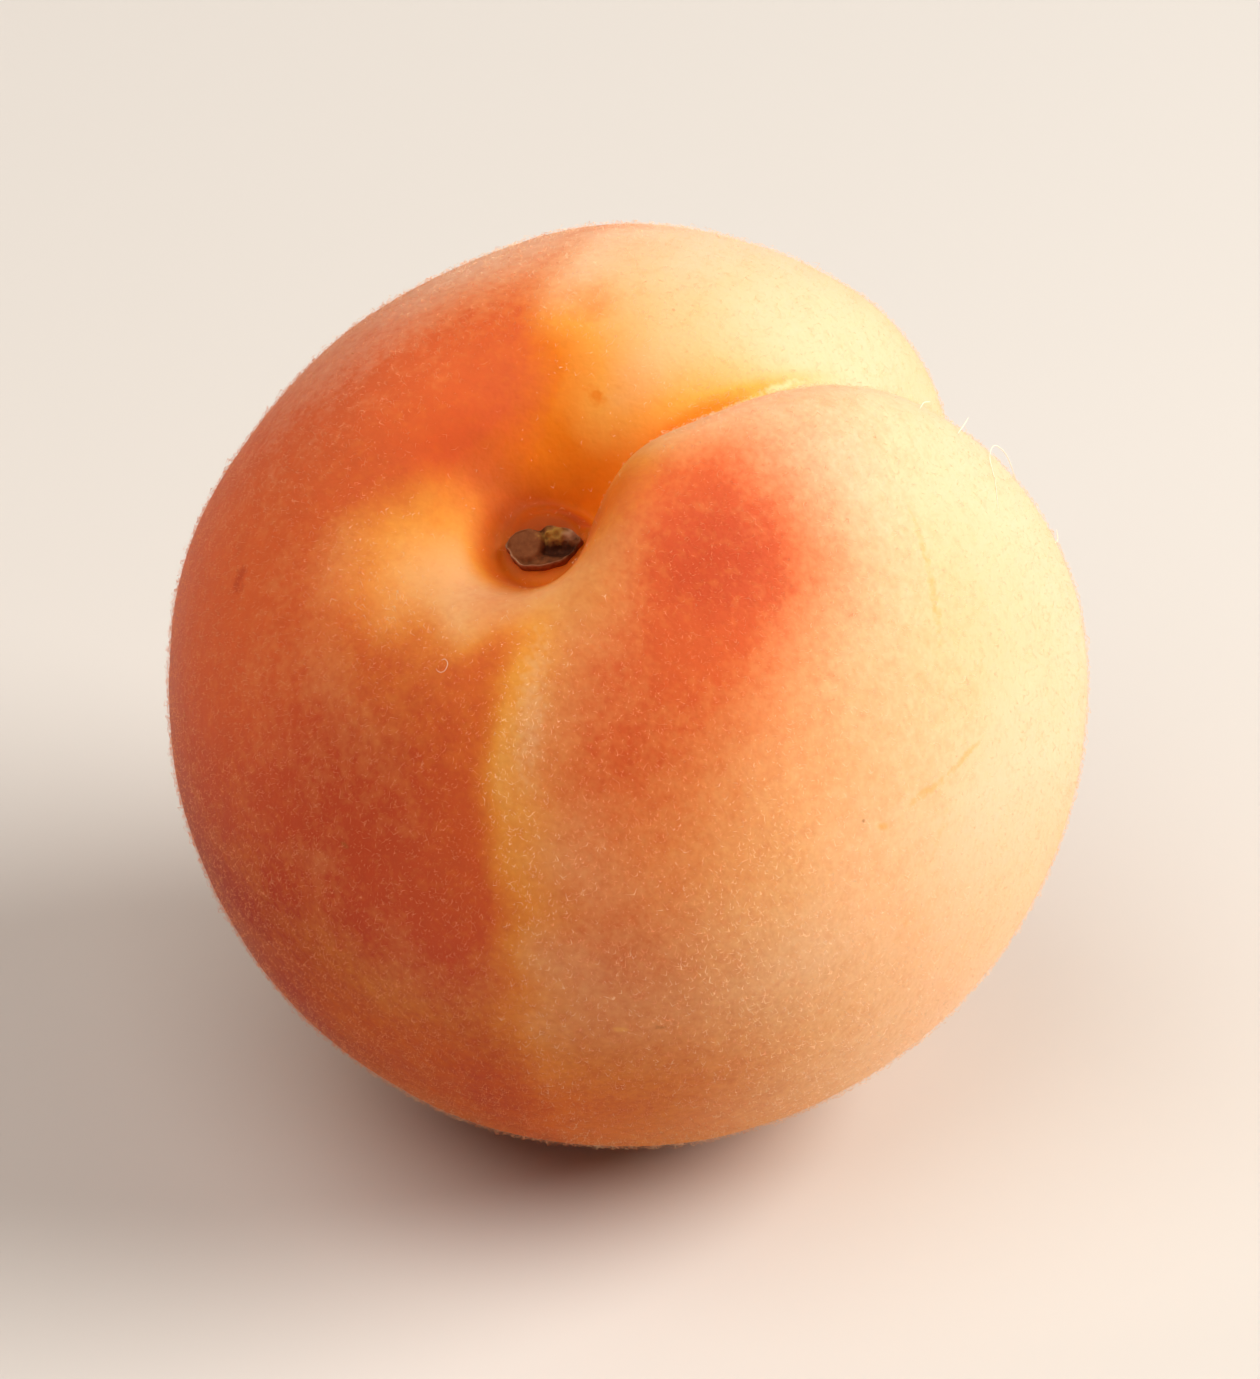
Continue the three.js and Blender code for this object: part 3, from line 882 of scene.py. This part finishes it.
def make_skin():
    across = np.linspace(0, 1, SKIN_ROWS + 2)[1:-1]
    polar = np.pi * across**SKIN_STEMWARD
    azimuth = np.linspace(-np.pi, np.pi, SKIN_COLUMNS, endpoint=False)
    polar, azimuth = (grid.ravel() for grid in np.meshgrid(polar, azimuth, indexing="ij"))
    polar = np.append(polar, [TO_POLE, np.pi - TO_POLE])
    azimuth = np.append(azimuth, [0, 0])
    points = skin_points(polar, azimuth)

    outward = points / np.linalg.norm(points, axis=1, keepdims=True)
    lumps = sum(height * waves(points, length, seed) for length, height, seed in SKIN_LUMPS)
    lumps = lumps * ramp(*SMOOTH_CENTRE, np.hypot(points[:, 0], points[:, 1]))
    shown = points + outward * lumps[:, None]
    placed = to_row(shown)
    placed[:, 2] = np.maximum(placed[:, 2], 0)

    piece = mesh_object("skin", placed, closed_grid_faces(SKIN_ROWS, SKIN_COLUMNS))
    for name, values in skin_masks(points).items():
        set_attribute(piece, name, values)
    directions = np.stack(
        [np.sin(polar) * np.cos(azimuth), np.sin(polar) * np.sin(azimuth), np.cos(polar)], -1
    )
    directions[np.abs(directions) < 1e-9] = 0
    bake_map(piece, directions)
    piece.data.materials.append(skin_material())
    return piece


# ---- The fuzz ----

STRAIGHT_HAIRS = 76000
BENT_HAIRS = 50000
HAIR_ROOT = 0.06  # how deep a hair starts in the skin
TABLE_CLEARANCE = 0.25  # no hair is pressed under the fruit
LEAST_FUZZ = 0.05  # share of the hairs that stays where the skin is bare
RED_SKIN = (0.3, 0.7)  # strengths of the blush that turn a hair red
HAIR_SPREAD = 1.15  # how far hairs point off the way from the stem, in radians

# Length as the two numbers of a gamma distribution, lift off the skin in degrees, radius. All
# lengths are in millimetres.
STRAIGHT_HAIR = ((6, 0.042), (8, 48), (0.004, 0.008))
BENT_HAIR = ((7, 0.056), (15, 50), (0.008, 0.013))
BEND = (45, 115)  # degrees
BEND_DROP = 0.25  # how far the outer half points down, for each length that it points ahead


def read_vertices(piece, values, name, width):
    """One value, or one vector, for each vertex."""
    read = np.empty(len(piece.data.vertices) * width, np.float32)
    values.foreach_get(name, read)
    return read.reshape(-1, width).astype(float)


def surface_samples(piece, count, draw):
    """Random roots on a mesh's quads, even over its area but sparse where it is bare, with
    their normals and whether the skin under each is red."""
    mesh = piece.data
    places = read_vertices(piece, mesh.vertices, "co", 3)
    normals = read_vertices(piece, mesh.vertex_normals, "vector", 3)
    blush = read_vertices(piece, mesh.attributes["blush"].data, "value", 1)
    bare = read_vertices(piece, mesh.attributes["bare"].data, "value", 1)
    quads = closed_grid_faces(SKIN_ROWS, SKIN_COLUMNS)[0]
    a, b, c, d = (places[quads[:, k]] for k in range(4))
    kept = 1 - (1 - LEAST_FUZZ) * bare[quads[:, 0], 0]
    share = np.linalg.norm(np.cross(c - a, d - b), axis=1) * kept
    chosen = quads[draw.choice(len(quads), count, p=share / share.sum())]
    s, t = draw.uniform(size=(2, count, 1))
    weights = ((1 - s) * (1 - t), s * (1 - t), s * t, (1 - s) * t)
    place = sum(places[chosen[:, k]] * weight for k, weight in enumerate(weights))
    normal = sum(normals[chosen[:, k]] * weight for k, weight in enumerate(weights))
    return place, unit(normal), blush[chosen[:, 0], 0] > draw.uniform(*RED_SKIN, count)


def unit(vectors):
    return vectors / np.linalg.norm(vectors, axis=1, keepdims=True)


def hair_starts(place, normal, shape, draw):
    """For each hair a direction along the skin, one across it and the one that it grows in, with
    its length, radius and root. Most point away from the stem."""
    one_each = (len(place), 1)
    lengths, lifts, radii = shape
    stem = direction_to_row([0, 0, 1])
    comb = unit(-stem - normal * (normal @ -stem)[:, None])
    side = np.cross(normal, comb)
    angle = draw.normal(0, HAIR_SPREAD, one_each)
    along = comb * np.cos(angle) + side * np.sin(angle)
    length = draw.gamma(*lengths, one_each) * MM
    lift = np.radians(draw.uniform(*lifts, one_each))
    ahead = along * np.cos(lift) + normal * np.sin(lift)
    radius = draw.uniform(*radii, one_each) * MM
    root = place - normal * HAIR_ROOT * MM
    return along, np.cross(normal, along), ahead, length, radius, root


def triangle_ring(centre, first, second, radius):
    """Three points round each centre, in the plane of two directions."""
    turns = np.radians([0, 120, 240])
    return [centre + (first * math.cos(t) + second * math.sin(t)) * radius for t in turns]


def straight_hairs(place, normal, draw):
    """Points and faces of straight tapering hairs, each on its own row."""
    _, across, ahead, length, radius, root = hair_starts(place, normal, STRAIGHT_HAIR, draw)
    ring = triangle_ring(root, across, normal, radius)
    points = np.stack([*ring, place + ahead * length], 1)
    return points, [[0, 1, 3], [1, 2, 3], [2, 0, 3], [0, 2, 1]]


def bent_hairs(place, normal, draw):
    """The same for hairs with a bend half way, thickest at the bend."""
    along, across, ahead, length, radius, root = hair_starts(place, normal, BENT_HAIR, draw)
    middle = place + ahead * length * 0.5
    turn = np.radians(draw.choice([-1, 1], radius.shape) * draw.uniform(*BEND, radius.shape))
    onward = along * np.cos(turn) + across * np.sin(turn)
    tip = middle + (onward - normal * BEND_DROP) * length * 0.5
    points = np.stack([*triangle_ring(middle, across, normal, radius), root, tip], 1)
    lower = [[1, 0, 3], [2, 1, 3], [0, 2, 3]]
    return points, lower + [[0, 1, 4], [1, 2, 4], [2, 0, 4]]


def plain_material(name, colour, roughness=0.6, specular=0.2):
    material = bpy.data.materials.new(name)
    material.use_nodes = True
    shader = material.node_tree.nodes["Principled BSDF"]
    shader.inputs["Base Color"].default_value = (*colour, 1)
    shader.inputs["Roughness"].default_value = roughness
    shader.inputs["Specular IOR Level"].default_value = specular
    return material


def make_fuzz(skin):
    """Two coats of hairs, each in two pieces: the hairs are clear, so they look redder where
    the skin under them is red."""
    pieces = []
    for coat, make_hairs, count, seed, colours in (
        ("straight", straight_hairs, STRAIGHT_HAIRS, 101, (PALE_FUZZ, BLUSH_FUZZ)),
        ("bent", bent_hairs, BENT_HAIRS, 103, (PALE_CURLS, BLUSH_CURLS)),
    ):
        draw = np.random.default_rng(seed)
        place, normal, red = surface_samples(skin, count, draw)
        points, pattern = make_hairs(place, normal, draw)
        clear = points[:, :, 2].min(1) > TABLE_CLEARANCE * MM
        for tint, chosen, colour in zip(("pale", "blush"), (clear & ~red, clear & red), colours):
            hairs = points[chosen]
            first = np.arange(len(hairs))[:, None, None] * hairs.shape[1]
            faces = (first + np.array(pattern)[None]).reshape(-1, 3)
            name = f"fuzz_{coat}_{tint}"
            piece = mesh_object(name, hairs.reshape(-1, 3), [faces], smooth=False)
            piece.data.materials.append(plain_material(name, colour))
            pieces.append(piece)
    return pieces


# ---- Stray fibres caught on the skin ----

FIBRE_SIDES = 6
FIBRE_STEPS = 8  # between two places
FIBRE_TAPER = 0.6  # share of the radius missing at the ends

# Each fibre's radius, then its places as polar angle, azimuth and height above the skin.
FIBRES = (
    (
        0.025,
        (66.5, -26.5, 0.03), (67.5, -22, 0.06), (69, -17.5, 0.15), (73, -14, 0.55),
        (77, -13.5, 0.7), (80, -14.5, 0.4), (83, -15.5, -0.05),
    ),
    (0.025, (63, -15.5, -0.05), (64.5, -14, 0.35), (66, -12.5, 0.8)),
    (0.025, (57, -12.5, -0.05), (58, -11.5, 0.25), (59.5, -11, 0.4)),
    (0.025, (86, -23.5, -0.05), (87.5, -22.5, 0.25), (87.5, -21, 0.45)),
    (
        0.01,
        (22.8, -155.2, 0), (23, -153.4, 0.07), (22.6, -151.8, 0.12), (21.7, -151.6, 0.14),
        (21.3, -153.2, 0.12), (21.6, -154.5, 0.08),
    ),
)


def smooth_line(places, steps):
    """A line through every place, without corners."""
    before, after = 2 * places[0] - places[1], 2 * places[-1] - places[-2]
    padded = np.vstack([before, places, after])
    t = np.linspace(0, 1, steps, endpoint=False)[:, None]
    stretches = []
    for a, b, c, d in zip(padded, padded[1:], padded[2:], padded[3:]):
        bend = (2 * a - 5 * b + 4 * c - d) * t**2 + (3 * b - a - 3 * c + d) * t**3
        stretches.append(0.5 * (2 * b + (c - a) * t + bend))
    return np.vstack([*stretches, places[-1]])


def make_fibres():
    points, faces = [], []
    for thickness, *places in FIBRES:
        skin_places = np.array([skin_at(polar, azimuth) for polar, azimuth, _ in places])
        heights = np.array([height for _, _, height in places])[:, None]
        line = smooth_line(skin_places + unit(skin_places) * heights, FIBRE_STEPS)
        ahead = unit(np.gradient(line, axis=0))
        first = unit(np.cross(unit(line), ahead))
        second = np.cross(first, ahead)
        along = np.linspace(-1, 1, len(line))
        radius = thickness * (1 - FIBRE_TAPER * along**4)[:, None]
        turns = np.arange(FIBRE_SIDES) * 2 * np.pi / FIBRE_SIDES
        rings = [line + radius * (first * math.cos(t) + second * math.sin(t)) for t in turns]
        tube = np.stack(rings, 1).reshape(-1, 3)
        offset = sum(len(block) for block in points)
        faces += [block + offset for block in closed_grid_faces(len(line), FIBRE_SIDES)]
        points.append(np.vstack([tube, line[0], line[-1]]))
    piece = mesh_object("stray_fibres", to_row(np.vstack(points)), faces)
    piece.data.materials.append(plain_material("fibre", FIBRE))
    return piece


# ---- The scar of the stem ----

SCAR_DARK = (0.050, 0.011, 0.003)
SCAR_BROWN = (0.19, 0.056, 0.016)
SCAR_TAN = (0.30, 0.105, 0.035)
SCAR_OLIVE = (0.40, 0.20, 0.035)
SCAR_PAPER = (0.46, 0.24, 0.13)
SCAR_COLOURS = ((0.0, SCAR_DARK), (0.5, SCAR_BROWN), (1.0, SCAR_TAN))
SCAR_GRAIN = (0.22, 3, 0.3)  # size in mm, detail and strength
SCAR_FINE_GRAIN = (0.1, 3)
SCAR_FINE_BUMP = (0.04, 0.7)  # height in mm and strength
OLIVE_COVER = (0.3, 0.9)  # strengths where it starts and is whole
PAPER_COVER = (0.3, 1.0)


def scar_material():
    shade = Shade("dried_stem")
    grain = shade.uneven(*SCAR_GRAIN)
    tone = shade.sum(shade.attribute("light"), grain)
    colour = shade.colours(tone, *SCAR_COLOURS)
    olive = shade.sum(shade.attribute("olive"), grain)
    colour = shade.mix(shade.range(olive, *OLIVE_COVER), colour, SCAR_OLIVE)
    paper = shade.sum(shade.attribute("paper"), grain)
    colour = shade.mix(shade.range(paper, *PAPER_COVER), colour, SCAR_PAPER)
    shade.put(shade.shader.inputs["Base Color"], colour)
    shade.bump(shade.noise(*SCAR_FINE_GRAIN), *SCAR_FINE_BUMP)
    shade.shader.inputs["Roughness"].default_value = 0.75
    shade.shader.inputs["Specular IOR Level"].default_value = 0.15
    return shade.material


SCAR_FLOOR = PIT_FLOOR_HEIGHT + 0.3  # the scar's own level, a little above the pit's floor
SCAR_LEAST = -0.24  # its hollow stays above the pit's floor
SCAR_BACK = 0.1  # how far it sits towards the near lobe
SCAR_RISE = 0.16
SCAR_SIDE = 0.7  # how far its rim runs down
SCAR_SIDE_PLACE = (0.975, 1.0)  # shares of the way to the outline
SCAR_ROOT = 0.3  # how far its middle reaches under the pit's floor
OUTLINE_WAVES = ((3, 0.6, 0.05), (5, 0, 0.03), (11, 0, 0.02))  # count, phase and height
OUTLINE_CHANGES = [(-0.2, 97, 15), (-0.05, 0, 45), (0.06, 0, 12)]
DISC = (-0.82, 0.05)  # a and b of its middle
DISC_EDGE = (0.95, 0.7)
DISC_RISE = 0.16
GROOVE = (0.98, 0.13)  # distance from the disc's middle, and spread
GROOVE_SIDE = (25, 70)
GROOVE_DEPTH = 0.22
HOLLOW = (0.85, -0.36, 0.95, 0.42)  # a, b, half length and half width
HOLLOW_DEPTH = 0.46
LUMPS = (0.62, 0.4, 0.95, 0.55)
LUMP_RISE = 0.24
LUMP_TEARS = 0.3
SOFT_SPREAD = 0.85
FLAP = (1.35, 0.3, 0.45, 0.35)
RIM = (0.95, 0.045)  # share of the way to the outline, and spread
RIM_SIDE = (-125, 75)
RIM_LEAST = 0.25
RIM_RISE = 0.17
TEAR_WAVES = (0.42, 31)  # wavelength in mm and random seed
TEAR_START = (0.25, 0.5)
TEAR_HEIGHT = 0.02
DISC_SMOOTHNESS = 0.8
PALE_SPOT = (-0.3, -0.5, 0.35)  # a, b and spread

# Its tone, and how much each feature changes it, where 0 is dark and 1 is tan.
LIGHT_EVERYWHERE = 0.52
DISC_LIGHT = 0.05
TEAR_LIGHT = 0.05
GROOVE_SHADE = 0.5
HOLLOW_SHADE = 1.1
LUMP_LIGHT = 0.45
SPOT_LIGHT = 0.3
SIDE_LIGHT = 0.3
SIDE_LIGHT_PLACE = (0.96, 1)  # shares of the way to the outline
OLIVE_LUMPS = (0.95, 0.12)  # strength, and how much the tears change it


def scar_blob(a, b, place):
    """A soft oval on the scar."""
    middle_a, middle_b, half_length, half_width = place
    away = np.hypot((a - middle_a) / half_length, (b - middle_b) / half_width)
    return bell(away, 0, SOFT_SPREAD)


def make_scar():
    """A dried button: a smooth disc at one end, a torn hollow at the other, a papery rim. Its
    long axis a runs from the disc to the hollow, and b runs towards the far lobe."""
    radial = np.linspace(0, 1, SCAR_ROWS + 1)[1:]
    turn = np.linspace(-np.pi, np.pi, SCAR_COLUMNS, endpoint=False)
    radial, turn = (grid.ravel() for grid in np.meshgrid(radial, turn, indexing="ij"))
    radial = np.append(radial, [0, 0])
    turn = np.append(turn, [0, 0])
    outline = varied(1, OUTLINE_CHANGES, turn)
    for count, phase, height in OUTLINE_WAVES:
        outline = outline + height * np.sin(count * turn + phase)
    a = SCAR_LENGTH / 2 * radial * np.cos(turn) * outline
    b = SCAR_WIDTH / 2 * radial * np.sin(turn) * outline - SCAR_BACK

    disc_a, disc_b = a - DISC[0], b - DISC[1]
    from_disc = np.hypot(disc_a, disc_b)
    disc = ramp(*DISC_EDGE, from_disc)
    groove = bell(from_disc, *GROOVE) * facing(np.arctan2(disc_b, disc_a), *GROOVE_SIDE)
    hollow = scar_blob(a, b, HOLLOW)
    lumps = scar_blob(a, b, LUMPS)
    edge = bell(radial, *RIM) * (RIM_LEAST + (1 - RIM_LEAST) * facing(turn, *RIM_SIDE))
    torn = waves(np.stack([a, b, 0 * a], -1), *TEAR_WAVES)
    torn = torn * ramp(*TEAR_START, radial) * (1 - DISC_SMOOTHNESS * disc)
    height = SCAR_RISE + DISC_RISE * disc - GROOVE_DEPTH * groove - HOLLOW_DEPTH * hollow
    height = height + LUMP_RISE * lumps * (1 + LUMP_TEARS * torn)
    height = np.maximum(height + RIM_RISE * edge + TEAR_HEIGHT * torn, SCAR_LEAST)
    height = height - SCAR_SIDE * ramp(*SCAR_SIDE_PLACE, radial)
    points = np.stack([a, b, SCAR_FLOOR + height], -1)
    points[-1] = (0, 0, PIT_FLOOR_HEIGHT - SCAR_ROOT)

    spin = np.array(Matrix.Rotation(math.radians(SCAR_TURN), 3, "Z"))
    faces = closed_grid_faces(SCAR_ROWS, SCAR_COLUMNS)
    piece = mesh_object("scar", to_row(points @ spin.T), faces)
    spot_a, spot_b, spot_spread = PALE_SPOT
    spot = bell(np.hypot(a - spot_a, b - spot_b), 0, spot_spread)
    light = LIGHT_EVERYWHERE + DISC_LIGHT * disc + TEAR_LIGHT * torn - GROOVE_SHADE * groove
    light = light - HOLLOW_SHADE * hollow + LUMP_LIGHT * lumps + SPOT_LIGHT * spot
    light = light + SIDE_LIGHT * ramp(*SIDE_LIGHT_PLACE, radial)
    olive, tears = OLIVE_LUMPS
    set_attribute(piece, "light", light)
    set_attribute(piece, "olive", lumps * (olive + tears * torn))
    set_attribute(piece, "paper", edge + scar_blob(a, b, FLAP))
    piece.data.materials.append(scar_material())
    return piece


# ---- Floor, light and camera ----

CAMERA_AZIMUTH = 24.6  # round the fruit, from looking along +Y
CAMERA_ELEVATION = 33.0
CAMERA_DISTANCE = 0.9
FRAME_WIDTH = 0.062  # width of the picture at the fruit
FRAME_HEIGHT = FRAME_WIDTH * 1379 / 1260
FRUIT_MIDDLE = Vector((0, 0, 0.0221))
FLOOR_SIZE = 6
FLOOR_COLOUR = (0.66, 0.63, 0.59)
SKY_COLOUR = (1, 0.95, 0.90)
SKY_STRENGTH = 0.17

# Name, place from the fruit's middle in metres, width, power in watts and colour.
LIGHTS = (
    ("key", (0.440, 0.195, 0.330), 0.42, 4.9, (1, 0.97, 0.93)),
    ("fill", (-0.07, -0.28, 0.56), 0.6, 2.15, (1, 0.93, 0.85)),
    ("rim", (-0.38, 0.05, 0.33), 0.4, 0.5, (1, 0.84, 0.78)),
)


def aim(thing, target):
    thing.rotation_mode = "QUATERNION"
    thing.rotation_quaternion = (target - thing.location).to_track_quat("-Z", "Y")


def soft_light(name, place, size, power, colour):
    lamp = bpy.data.lights.new(name, "AREA")
    lamp.shape = "DISK"
    lamp.size = size
    lamp.energy = power
    lamp.color = colour
    holder = bpy.data.objects.new(name, lamp)
    bpy.context.scene.collection.objects.link(holder)
    holder.location = FRUIT_MIDDLE + Vector(place)
    aim(holder, FRUIT_MIDDLE)


def make_studio():
    bpy.ops.mesh.primitive_plane_add(size=FLOOR_SIZE)
    floor = bpy.context.object
    floor.name = "floor"
    floor.data.materials.append(plain_material("pale_floor", FLOOR_COLOUR, 0.7, 0.5))

    for light in LIGHTS:
        soft_light(*light)
    world = bpy.data.worlds.new("studio")
    world.use_nodes = True
    background = world.node_tree.nodes["Background"]
    background.inputs["Color"].default_value = (*SKY_COLOUR, 1)
    background.inputs["Strength"].default_value = SKY_STRENGTH
    bpy.context.scene.world = world
    bpy.context.scene.view_settings.view_transform = "Standard"


def make_camera():
    turn, rise = math.radians(CAMERA_AZIMUTH), math.radians(CAMERA_ELEVATION)
    back = Vector(
        (math.sin(turn) * math.cos(rise), -math.cos(turn) * math.cos(rise), math.sin(rise))
    )
    lens = bpy.data.cameras.new("camera")
    lens.sensor_width = 36
    lens.lens = lens.sensor_width * CAMERA_DISTANCE / FRAME_HEIGHT
    camera = bpy.data.objects.new("camera", lens)
    bpy.context.scene.collection.objects.link(camera)
    camera.location = FRUIT_MIDDLE + back * CAMERA_DISTANCE
    aim(camera, FRUIT_MIDDLE)
    lens.clip_start, lens.clip_end = 0.01, 10
    bpy.context.scene.camera = camera


# ---- Assembly ----


def dress(piece, slot, *nodes):
    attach(piece, "root")
    if nodes:
        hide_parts(*nodes)


make_camera()
make_studio()

skin = make_skin()
dress(skin, "skin", "fruit")
dress(make_scar(), "dried_stem", "stem_scar")

for piece in [*make_fuzz(skin), make_fibres()]:
    dress(piece, "skin")
